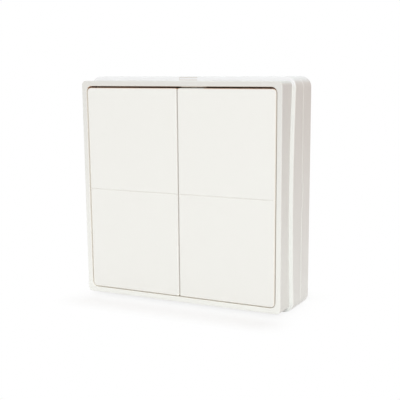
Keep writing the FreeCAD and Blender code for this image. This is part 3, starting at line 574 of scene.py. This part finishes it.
def canFinish(name, look, box):
    # drawn can on a black foot, with a dark segment at the side of the negative lead
    material, place = startFinish(name)
    x, y, z = place.axes()
    height = y - box["front"]
    foot = height < look["footHeight"]
    away = distanceTo(x, z, [(box["midX"], box["midZ"])])
    onTop = height > (2 * box["halfY"] - look["markDepth"])
    mark = onTop * ((x - box["midX"]) > box["halfX"] * look["markShare"])
    turned = place.make("ShaderNodeCombineXYZ", {0: away, 1: height}).noise(look["spin"], detail=2.0)
    plastic = foot.larger(mark)
    colour = foot.blend(mark.blend(look["aluminium"], look["mark"]), look["foot"])
    rough = look["roughness"] + turned * look["spinRough"] + plastic * look["plasticRough"]
    surface(place, colour, rough, turned.bump(look["spinHeight"]), Metallic=1 - plastic)
    return material


ledLook = {
    "body": (0.8, 0.79, 0.74),
    "bodyHeight": 0.8 * mm,
    "roughness": 0.45,
    "lens": (0.86, 0.84, 0.62),
    "lensPolish": 0.35,
    "grain": 0.06 * mm,
    "grainRough": 0.06,
    "grainHeight": 0.004 * mm,
    "coat": 0.5,
}


def ledFinish(name, look, box):
    # white body under a clear, slightly yellow lens
    material, place = startFinish(name)
    lens = (place.axes()[1] - box["front"]) > look["bodyHeight"]
    grain = place.noise(look["grain"])
    rough = look["roughness"] - lens * look["lensPolish"] + grain * look["grainRough"]
    surface(place, lens.blend(look["body"], look["lens"]), rough,
            (grain * (1 - lens)).bump(look["grainHeight"]), Coat_Weight=look["coat"])
    return material


dressNodes(chipFinish("chipPackage", chipLook, planes("microcontroller")), "microcontroller")
dressNodes(ceramicFinish("firedCeramic", ceramicLook, planes("chip_capacitors")), "chip_capacitors")
dressNodes(canFinish("drawnAluminium", canLook, planes("buffer_capacitor")), "buffer_capacitor")
dressNodes(ledFinish("lampLens", ledLook, planes("status_led")), "status_led")
print("parts on the board done")

# Cells: steel ends, a dark sleeve and a plain pale band near the nub
cellLook = {
    "sleeve": (0.045, 0.075, 0.15),
    "band": (0.62, 0.63, 0.62),
    "bandStart": 0.62,              # share of the length, from the flat end
    "bandEdge": 0.2 * mm,
    "bandHeight": 0.5,
    "steel": (0.7, 0.7, 0.69),
    "nub": 1.0 * mm,
    "endReach": 0.05 * mm,
    "fold": 0.5 * mm,
    "shrink": 1.2 * mm,
    "shrinkStretch": (0.15, 1, 1),
    "shrinkRough": 0.1,
    "height": 0.02 * mm,
    "roughness": 0.3,
    "coat": 0.3,
}


def cellFinish(name, look, box, way):
    # way is 1 where the nub points to the right, and -1 where it points to the left
    material, place = startFinish(name)
    x, y, z = place.axes()
    nubEnd = box["right"] if way > 0 else box["left"]
    fromNub = (nubEnd - x) * way
    length = 2 * box["halfX"]
    bandEnd = length * (1 - look["bandStart"])
    away = distanceTo(y, z, [(box["midY"], box["midZ"])])
    atEnd = (fromNub < look["nub"] + look["endReach"]).larger(fromNub > (length - look["endReach"]))
    steel = atEnd * (away < box["halfZ"] - look["fold"])
    colour = steel.blend((fromNub < bandEnd).blend(look["sleeve"], look["band"]), look["steel"])
    shrink = place.stretched(*look["shrinkStretch"]).noise(look["shrink"])
    bandEdge = abs(fromNub - bandEnd).ramp(0, look["bandEdge"], 1, 0)
    height = shrink + bandEdge * look["bandHeight"]
    surface(place, colour, look["roughness"] + shrink * look["shrinkRough"], height.bump(look["height"]),
            Metallic=steel, Coat_Weight=look["coat"])
    return material


dressNodes(cellFinish("upperCellSleeve", cellLook, planes("upper_battery"), 1), "upper_battery")
dressNodes(cellFinish("lowerCellSleeve", cellLook, planes("lower_battery"), -1), "lower_battery")
print("cells done")

# Camera and light. A lamp of level 1 gives a white face that looks straight at it a brightness of 1.
cameraLook = {
    "place": (0.15207, -0.28613, 0.08804),
    "turn": -26.36,
    "dip": 11.257,
    "roll": -0.259,
    "lens": 76.37,
    "sensor": 36.0,
    "shift": (-0.0434, 0.0989),
    "nearest": 0.01,
}
worldLook = {"colour": (1.0, 0.87, 0.8), "level": 0.43}
lampLooks = {
    "overheadLamp": {"place": (-0.055, 0.12, 0.5), "aim": (0, 0, 0), "size": 0.4,
                     "level": (0.41, 0.465, 0.475)},
    "frontLamp": {"place": (0.87, -1.954, 1.13), "aim": (0, 0, 0.04), "size": 0.8,
                  "level": (0.475, 0.513, 0.521)},
}
floorLook = {
    "size": 6.0,
    "colour": (0.95, 0.94, 0.945),
    "contactShare": 0.83,           # how much of the floor is plain white to the camera, close to the switch
    "shadowShare": 0.54,            # the same where the shadow shows most, real shadow and painted darkening together
    "shadowPlace": 7.5 * mm,
    "fadeReach": 21 * mm,
    "sideReach": 8 * mm,            # the painted darkening fades out this far beside the housing's outline
}
white = (1, 1, 1, 1)


def setCamera():
    turn, dip, roll = (math.radians(cameraLook[name]) for name in ("turn", "dip", "roll"))
    ahead = Vector((math.sin(turn) * math.cos(dip), math.cos(turn) * math.cos(dip), -math.sin(dip)))
    level = Vector((math.cos(turn), -math.sin(turn), 0))
    upright = level.cross(ahead)
    right = level * math.cos(roll) + upright * math.sin(roll)
    up = upright * math.cos(roll) - level * math.sin(roll)
    data = bpy.data.cameras.new("photoCamera")
    data.lens = cameraLook["lens"]
    data.sensor_width = cameraLook["sensor"]
    data.shift_x, data.shift_y = cameraLook["shift"]
    data.clip_start = cameraLook["nearest"]
    camera = bpy.data.objects.new("photoCamera", data)
    turned = Matrix((right, up, -ahead)).transposed()
    camera.matrix_world = Matrix.Translation(cameraLook["place"]) @ turned.to_4x4()
    bpy.context.scene.collection.objects.link(camera)
    bpy.context.scene.camera = camera


def seenDirectly(flow):
    # 1 for what the camera sees straight, in a mirror or through glass, and 0 for light on other surfaces
    outputs = flow.make("ShaderNodeLightPath").socket.node.outputs
    rays = ("Is Camera Ray", "Is Glossy Ray", "Is Transmission Ray")
    camera, glossy, through = [Flow(flow.tree, outputs[ray]) for ray in rays]
    return camera.larger(glossy).larger(through)


def setWorld():
    world = bpy.data.worlds.new("studio")
    bpy.context.scene.world = world
    world.use_nodes = True
    world.node_tree.nodes.clear()
    flow = Flow(world.node_tree)
    colour = (*worldLook["colour"], 1)
    light = flow.make("ShaderNodeBackground", {"Color": colour, "Strength": worldLook["level"]})
    plain = flow.make("ShaderNodeBackground", {"Color": white, "Strength": 1.0})
    mixed = flow.make("ShaderNodeMixShader", {0: seenDirectly(flow), 1: light, 2: plain})
    flow.make("ShaderNodeOutputWorld", {"Surface": mixed})


def setLamp(name, look):
    data = bpy.data.lights.new(name, "AREA")
    data.shape = "SQUARE"
    data.size = look["size"]
    away = Vector(look["place"]) - Vector(look["aim"])
    strongest = max(look["level"])
    data.energy = strongest * math.pi ** 2 * away.length_squared
    data.color = [value / strongest for value in look["level"]]
    lamp = bpy.data.objects.new(name, data)
    lamp.location = look["place"]
    lamp.rotation_euler = away.to_track_quat("Z", "Y").to_euler()
    bpy.context.scene.collection.objects.link(lamp)


def setFloor():
    half = floorLook["size"] / 2
    corners = [(-half, -half, 0), (half, -half, 0), (half, half, 0), (-half, half, 0)]
    mesh = bpy.data.meshes.new("floor")
    mesh.from_pydata(corners, [], [(0, 1, 2, 3)])
    floor = bpy.data.objects.new("floor", mesh)
    bpy.context.scene.collection.objects.link(floor)
    material, place = startFinish("paleFloor")
    x, y = place.axes()[:2]
    diffuse = place.make("ShaderNodeBsdfDiffuse", {"Color": (*floorLook["colour"], 1)})
    plain = place.make("ShaderNodeEmission", {"Color": white, "Strength": 1.0})
    # painted shadow: the white share dips in a band in front of the switch, so the floor's diffuse shading,
    # real shadow included, shows darker there
    before = (abs(y) - (cadBox[1][1] - cadBox[0][1]) / 2).larger(0)
    nearby = before.ramp(0, floorLook["shadowPlace"], floorLook["contactShare"], floorLook["shadowShare"])
    beyond = before.ramp(floorLook["shadowPlace"], floorLook["fadeReach"], 0, 1 - floorLook["shadowShare"])
    outline, reach = housingBox["halfX"], floorLook["sideReach"]
    beside = abs(x).ramp(outline - reach, outline + reach)
    along = nearby + beyond
    share = seenDirectly(place) * (along + (1 - along) * beside)
    endFinish(place, place.make("ShaderNodeMixShader", {0: share, 1: diffuse, 2: plain}))
    mesh.materials.append(material)


setCamera()
setWorld()
for lampName, lampLook in lampLooks.items():
    setLamp(lampName, lampLook)
setFloor()
bpy.context.scene.view_settings.view_transform = "Standard"
print("camera, light and floor done")
